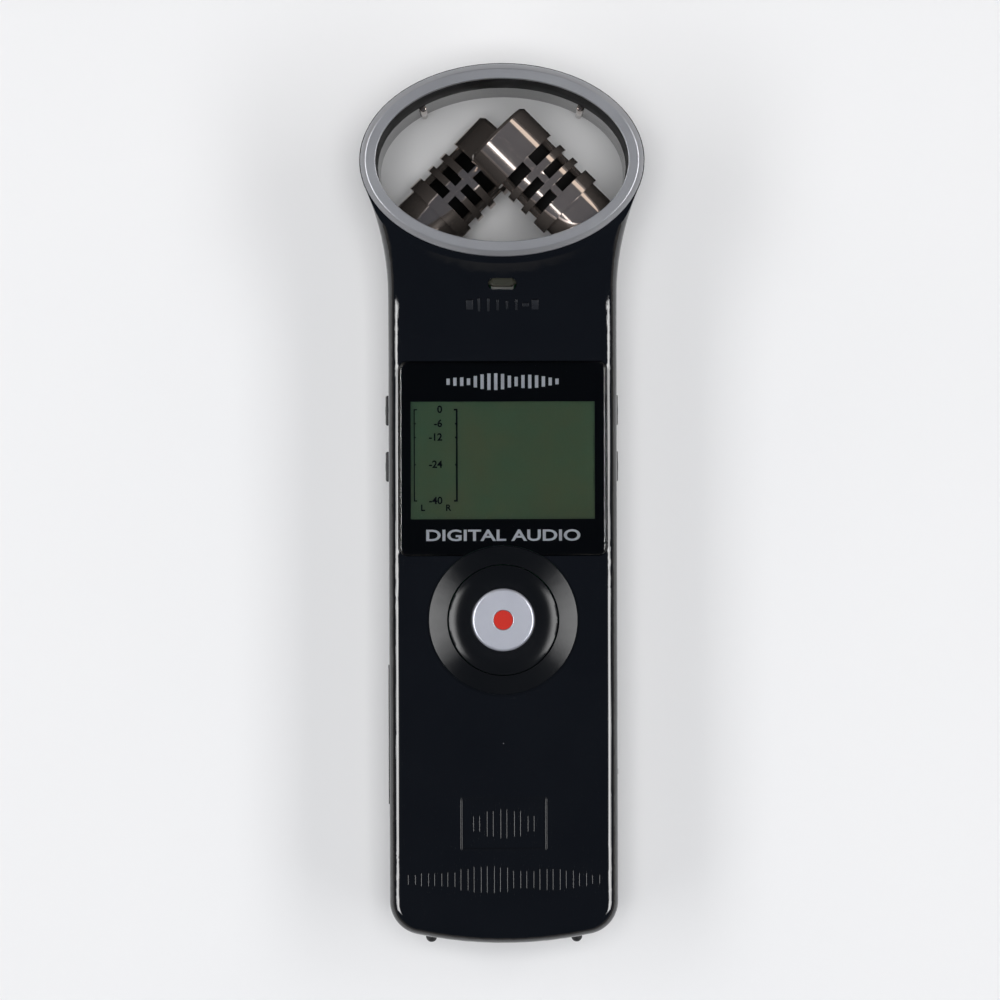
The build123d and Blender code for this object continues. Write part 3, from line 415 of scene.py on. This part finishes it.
# width of each node's broken edges in mm, 0 where the copy only gets new normals
broken_edges = {
    "rear_shell": 0.12, "head_ring": 0.15, "battery_door": 0.1, "card_door": 0.08,
    "upper_mic_body": 0.12, "lower_mic_body": 0.12, "record_ring": 0.08, "record_button": 0.08,
    "record_cap": 0.16, "record_dot": 0.06, "display_window": 0.0, "mic_bushings": 0.2,
    "volume_up_key": 0.08, "volume_down_key": 0.08, "level_up_key": 0.08, "level_down_key": 0.08,
    "back_key": 0.12, "play_key": 0.12, "skip_key": 0.12, "erase_key": 0.12, "power_slider": 0.1,
    "low_cut_slider": 0.12, "auto_level_slider": 0.12, "format_slider": 0.12, "tripod_bush": 0.15,
    "phones_jack": 0.15, "line_in_jack": 0.15, "usb_socket": 0.05, "end_feet": 0.0,
    "housing_screws": 0.1, "rating_plate": 0.05, "memory_card": 0.1, "card_socket": 0.05,
    "battery_cell": 0.4, "mic_foam": 0.2,
}
copied("front_shell")
for node_name, width in broken_edges.items():
    refined(node_name, width * MM)

# the faces of the head's opening are those that stand upright inside its oval; they get a darker, barely
# reflective copy of the black plastic, which paints shade into the opening
upright_slope = 0.3
opening_reach = 1.03
for shell_name, painted_shade_finish in (("front_shell_finished", painted_shade_head_lip), ("rear_shell_finished", painted_shade_head_wall)):
    shell = bpy.data.objects[shell_name]
    shell.data.materials.append(painted_shade_finish)
    for face in shell.data.polygons:
        across = face.center.x / OPENING_HALF_X
        along = (face.center.y - HEAD_Y) / OPENING_HALF_Y
        if abs(face.normal.z) < upright_slope and hypot(across, along) < opening_reach:
            face.material_index = 1
for ring_name in ("record_ring_finished", "record_button_finished"):
    bpy.data.objects[ring_name].data.materials[0] = record_gloss
for node_name, node in nodes_by_name.items():
    if node_name not in broken_edges and node_name != "front_shell":
        for material_slot in node.material_slots:
            material_slot.material = finishes[slot_of_node[node_name]]

# ---------------------------------------------------------------- display marks
mask_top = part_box("window_mask")[1][2]
lcd_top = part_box("lcd_panel")[1][2]
mark_depth = 0.1 * MM
mark_z = lcd_top + mark_depth / 2
line_width = 0.17 * MM
print_edge = 0.02 * MM
scale_left = -13.77 * MM
scale_right = -7.15 * MM
tick_rows = (15.26, 13.08, 10.95, 6.71, 1.07)
tick_words = ("0", "-6", "-12", "-24", "-40")
end_tick = 0.45 * MM
inner_tick = 0.28 * MM
scale_top = tick_rows[0] * MM
scale_end = tick_rows[-1] * MM
number_right = -9.4 * MM
number_height = 1.15 * MM
channel_y = -0.05 * MM
channel_height = 1.0 * MM


def scale_bracket(x, inward, width, name):
    """A level-scale bracket with its ticks, printed on the display."""
    bars = [block((x, (scale_top + scale_end) / 2, mark_z),
                  (width, scale_top - scale_end + width, mark_depth))]
    for row in tick_rows:
        reach = end_tick if row in (tick_rows[0], tick_rows[-1]) else inner_tick
        bars.append(block((x + inward * reach / 2, row * MM, mark_z), (reach, width, mark_depth)))
    bracket = joined(bars)
    soften(bracket, print_edge, 1)
    settle(bracket, name, HOUSING, "lcd_glass", mark_dark)


scale_bracket(scale_left, 1, line_width, "scale_bracket_left")
scale_bracket(scale_right, -1, line_width * 1.5, "scale_bracket_right")
for number, (row, words) in enumerate(zip(tick_rows, tick_words)):
    digits = lettering(words, (number_right, row * MM, mark_z), number_height, mark_depth, "RIGHT")
    settle(digits, f"scale_number_{number}", HOUSING, "lcd_glass", mark_dark)
for words, x in (("L", -12.46), ("R", -8.5)):
    letter = lettering(words, (x * MM, channel_y, mark_z), channel_height, mark_depth)
    settle(letter, f"channel_{words}", HOUSING, "lcd_glass", mark_dark)

# ---------------------------------------------------------------- prints behind the window
print_depth = 0.06 * MM
print_clear = 0.01 * MM
print_z = mask_top + print_depth / 2 + print_clear
caption_y = -4.4 * MM
caption_height = 1.75 * MM
caption_width = 24.0 * MM
wave_y = 19.6 * MM
wave_width = 18.0 * MM
wave_height = 2.7 * MM
caption = lettering("DIGITAL AUDIO", (0, caption_y, print_z), caption_height, print_depth,
                    width=caption_width)
settle(caption, "window_caption", HOUSING, "mask_black", print_grey)


def wave_bars(centre_y, z, width, height, depth, count, share):
    """A centred row of upright bars whose heights swell and fall like a sound level."""
    bars = []
    pitch = width / count
    for index in range(count):
        turn = (index + 0.5) / count
        swell = 0.3 + 0.7 * abs(sin(pi * turn)) * abs(cos(2.5 * pi * turn)) ** 0.5
        bars.append(block(((turn - 0.5) * width, centre_y, z), (pitch * share, height * swell, depth)))
    return joined(bars)


wave_print = wave_bars(wave_y, print_z, wave_width, wave_height, print_depth, 17, 0.5)
soften(wave_print, print_edge, 1)
settle(wave_print, "window_wave_print", HOUSING, "mask_black", print_grey)

# ---------------------------------------------------------------- raised marks on the front
emboss = 0.22 * MM
bar_edge = 0.09 * MM
sweep_length = 29.95 * MM
sweep_run = sweep_length / HEAD_OVAL - HEAD_HALF_WIDTH
sweep_rise = 6.4 * MM
sweep_radius = (sweep_run**2 + sweep_rise**2) / (2 * sweep_rise)


def shoulder(y):
    """Height and slope of the front's middle line where it rises to the head."""
    run = sweep_run + HEAD_HALF_WIDTH - (HEAD_Y - y) / HEAD_OVAL
    turn = asin(run / sweep_radius)
    return FRONT_Z + sweep_radius * (1 - cos(turn)), atan(tan(turn) / HEAD_OVAL)


def raised_bars(name, y, width, height, count, share, floor_z):
    """A row of raised bars that stands a little out of the face it is on."""
    bars = wave_bars(y, floor_z + emboss / 4, width, height, emboss * 1.4, count, share)
    soften(bars, bar_edge)
    settle(bars, name, HOUSING, "shell_black")


badge_y = -49.2 * MM
badge_width = 13.2 * MM
badge_height = 7.9 * MM
badge_floor_z = 23.7 * MM
badge_line = (0.3 * MM, 0.16 * MM)
badge_edge = 0.07 * MM
foot_y = -57.85 * MM
raised_bars("badge_bars", badge_y, 10.6 * MM, 5.2 * MM, 5, 0.5, badge_floor_z)
raised_bars("foot_bars", foot_y, 30.7 * MM, 4.4 * MM, 15, 0.6, FRONT_Z)

badge_frame = []
line_across, line_up = badge_line
for side in (-1, 1):
    badge_frame.append(block((side * badge_width / 2, badge_y, FRONT_Z),
                             (line_across, badge_height, line_up), edge=badge_edge))
    badge_frame.append(block((0, badge_y + side * badge_height / 2, FRONT_Z),
                             (badge_width, line_across, line_up), edge=badge_edge))
settle(joined(badge_frame), "badge_frame", HOUSING, "shell_black")

label_y = 31.5 * MM
label_pitch = 1.45 * MM
label_edge = 0.05 * MM
label_sizes = ((1.05, 1.5), (0.35, 2.1), (0.35, 2.1), (0.35, 1.7), (0.35, 1.2), (0.35, 1.7),
               (1.05, 0.5), (1.05, 1.5))
label_z, label_turn = shoulder(label_y)
label_marks = []
for index, (size_x, size_y) in enumerate(label_sizes):
    x = (index - (len(label_sizes) - 1) / 2) * label_pitch
    mark = block((x, label_y, label_z), (size_x * MM, size_y * MM, emboss * 2.2),
                 rotation=(label_turn, 0, 0), edge=label_edge)
    label_marks.append(mark)
# the label marks get the lighter black with painted sheen
settle(joined(label_marks), "lamp_label_marks", HOUSING, "shell_black", mark_painted_sheen)

# ---------------------------------------------------------------- lamp lens: a long bevelled gem
lens_y = 34.65 * MM
lens_size = (4.35 * MM, 1.6 * MM, 1.2 * MM)
lens_corner = 0.68 * MM
lens_inset = 0.34 * MM
lens_rise = 0.22 * MM
lens_sunk = 0.45 * MM
lens_z, lens_turn = shoulder(lens_y)
nothing_selected()
bpy.ops.mesh.primitive_cube_add(size=1.0, location=(0, 0, 0))
lens = bpy.context.object
lens.scale = lens_size
bpy.ops.object.transform_apply(scale=True)
bpy.ops.object.mode_set(mode="EDIT")
bpy.ops.mesh.select_all(action="DESELECT")
bpy.ops.object.mode_set(mode="OBJECT")
for edge in lens.data.edges:
    start, finish = (lens.data.vertices[v].co for v in edge.vertices)
    edge.select = abs(start.z - finish.z) > lens_size[2] / 2
bpy.ops.object.mode_set(mode="EDIT")
bpy.ops.mesh.select_mode(type="EDGE")
bpy.ops.mesh.bevel(offset=lens_corner, segments=1)
bpy.ops.mesh.select_all(action="DESELECT")
bpy.ops.object.mode_set(mode="OBJECT")
for face in lens.data.polygons:
    face.select = face.normal.z > 0.9
bpy.ops.object.mode_set(mode="EDIT")
bpy.ops.mesh.select_mode(type="FACE")
bpy.ops.mesh.inset(thickness=lens_inset)
bpy.ops.transform.translate(value=(0, 0, lens_rise))
bpy.ops.object.mode_set(mode="OBJECT")
lens.rotation_euler = (lens_turn, 0, 0)
lens.location = (0, lens_y + lens_sunk * sin(lens_turn), lens_z - lens_sunk * cos(lens_turn))
settle(lens, "lamp_lens_gem", HOUSING, "lens_smoke")
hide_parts("peak_lamp_lens")

# ---------------------------------------------------------------- plus and minus on the side keys


sign_long = 1.3 * MM
sign_line = 0.28 * MM
sign_depth = 0.12 * MM
sign_edge = 0.03 * MM


def key_sign(name, body, plus):
    """A raised plus or minus on the outer face of a side key."""
    low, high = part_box(name)
    face_x = high[0] if low[0] > 0 else low[0]
    middle = (face_x, (low[1] + high[1]) / 2, (low[2] + high[2]) / 2)
    bars = [block(middle, (sign_depth, sign_long, sign_line), edge=sign_edge)]
    if plus:
        bars.append(block(middle, (sign_depth, sign_line, sign_long), edge=sign_edge))
    settle(joined(bars), name + "_sign", body, "key_black")


for key in ("volume_up_key", "volume_down_key", "level_up_key", "level_down_key"):
    key_sign(key, key + "_body", "up" in key)

# ---------------------------------------------------------------- threads and socket collars


def collar(name, centre, turn, radius, thickness, slot, sides, edge):
    """A round collar, or one turn of thread where it has four sides, as a thin ring."""
    nothing_selected()
    bpy.ops.mesh.primitive_torus_add(location=centre, rotation=turn, major_radius=radius,
                                     minor_radius=thickness, major_segments=64, minor_segments=sides)
    ring = bpy.context.object
    soften(ring, edge, 2, 20.0)
    settle(ring, name, HOUSING, slot)


thread_start = 0.7
thread_pitch = 1.1
thread_radius = 3.12 * MM
bush_low, bush_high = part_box("tripod_bush")
bush_y = (bush_low[1] + bush_high[1]) / 2
for turn_number in range(5):
    thread_z = (thread_start + thread_pitch * turn_number) * MM
    collar(f"tripod_thread_{turn_number}", (0, bush_y, thread_z), (0, 0, 0), thread_radius,
           0.26 * MM, "brass_bush", 4, 0.06 * MM)
collar_radius = 2.1 * MM
for jack_name, side in (("phones_jack", -1), ("line_in_jack", 1)):
    jack_low, jack_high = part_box(jack_name)
    jack_x = jack_high[0] if side > 0 else jack_low[0]
    jack_middle = (jack_x, (jack_low[1] + jack_high[1]) / 2, (jack_low[2] + jack_high[2]) / 2)
    collar(jack_name + "_collar", jack_middle, (0, pi / 2, 0), collar_radius, 0.2 * MM,
           "socket_metal", 8, 0.05 * MM)
pin_size = (2.6 * MM, 0.35 * MM, 0.12 * MM)
pin_pitch = 0.8 * MM
pin_inside = 3.4 * MM
pin_above_middle = 0.55 * MM
usb_low, usb_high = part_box("usb_socket")
usb_y = (usb_low[1] + usb_high[1]) / 2
usb_z = (usb_low[2] + usb_high[2]) / 2
pins = [block((usb_low[0] + pin_inside, usb_y + (pin - 2) * pin_pitch, usb_z + pin_above_middle),
              pin_size, edge=0.03 * MM) for pin in range(5)]
settle(joined(pins), "usb_pins", HOUSING, "brass_bush")

# ---------------------------------------------------------------- posts inside the head
post_x = 12.4 * MM
post_y = 63.0 * MM
post_z = 7.6 * MM
post_radius = 0.55 * MM
post_length = 13.0 * MM
post_edge = 0.2 * MM
for side in (-1, 1):
    nothing_selected()
    bpy.ops.mesh.primitive_cylinder_add(vertices=24, radius=post_radius, depth=post_length,
                                        location=(side * post_x, post_y, post_z))
    post = bpy.context.object
    soften(post, post_edge)
    settle(post, "head_post_left" if side < 0 else "head_post_right", HOUSING, "mic_nickel")

# ---------------------------------------------------------------- floor, lights and camera
nothing_selected()
bpy.ops.mesh.primitive_plane_add(size=6.0, location=(0, 0, -0.02 * MM))
floor = bpy.context.object
floor.name = "floor"
floor.data.materials.append(finish_material("floor_pale", (0.83, 0.83, 0.835), (0.85, 0.85, 0.855),
                                            (0.6, 0.7), drift=3.0, specular=0.15))


def softbox(name, azimuth, elevation, distance, size_x, size_y, power, colour=(1, 1, 1)):
    """A soft rectangular light that faces the object."""
    light = bpy.data.lights.new(name, "AREA")
    light.shape = "RECTANGLE"
    light.size = size_x
    light.size_y = size_y
    light.energy = power
    light.color = colour
    lamp = bpy.data.objects.new(name, light)
    bpy.context.scene.collection.objects.link(lamp)
    flat = cos(radians(elevation))
    lamp.location = Vector((sin(radians(azimuth)) * flat, cos(radians(azimuth)) * flat,
                            sin(radians(elevation)))) * distance
    lamp.rotation_euler = (-lamp.location).to_track_quat("-Z", "Y").to_euler()
    return lamp


softbox("softbox_left", -90, 52, 1.0, 0.9, 0.3, 2.9)
softbox("softbox_right", 90, 52, 1.0, 0.9, 0.3, 2.9)
for side in (-1, 1):
    softbox(f"warm_strip_{side}", side * 45, 28, 1.0, 0.8, 0.24, 0.7, (1.0, 0.9, 0.78))
for side in (-1, 1):
    edge_light = softbox(f"edge_light_{side}", side * 90, 45, 1.1, 0.9, 0.42, 6.5)
    edge_light.visible_diffuse = False
    edge_light.visible_transmission = False
overhead = softbox("overhead", 0, 90, 1.2, 0.45, 0.45, 7.9)
overhead.visible_glossy = False
overhead.visible_transmission = False

world = bpy.data.worlds.new("studio")
bpy.context.scene.world = world
world.use_nodes = True
world_tree = world.node_tree
ray_direction = world_tree.nodes.new("ShaderNodeTexCoord")
split_direction = world_tree.nodes.new("ShaderNodeSeparateXYZ")
sky = world_tree.nodes.new("ShaderNodeValToRGB")
sky.color_ramp.elements[0].position = 0.1
sky.color_ramp.elements[0].color = (0.4, 0.375, 0.345, 1)
sky.color_ramp.elements[1].position = 0.34
sky.color_ramp.elements[1].color = (0.05, 0.062, 0.085, 1)
world_tree.links.new(ray_direction.outputs["Generated"], split_direction.inputs["Vector"])
world_tree.links.new(split_direction.outputs["Z"], sky.inputs["Fac"])
world_tree.links.new(sky.outputs["Color"], world_tree.nodes["Background"].inputs["Color"])
bpy.context.scene.view_settings.view_transform = "Standard"

camera_data = bpy.data.cameras.new("camera")
camera_data.lens = 152.1
camera_data.sensor_width = 36.0
camera_data.clip_start = 0.01
camera = bpy.data.objects.new("camera", camera_data)
bpy.context.scene.collection.objects.link(camera)
camera.location = (-0.45 * MM, 1.18 * MM, 681.0 * MM)
camera.rotation_euler = (0, 0, radians(-0.17))
bpy.context.scene.camera = camera
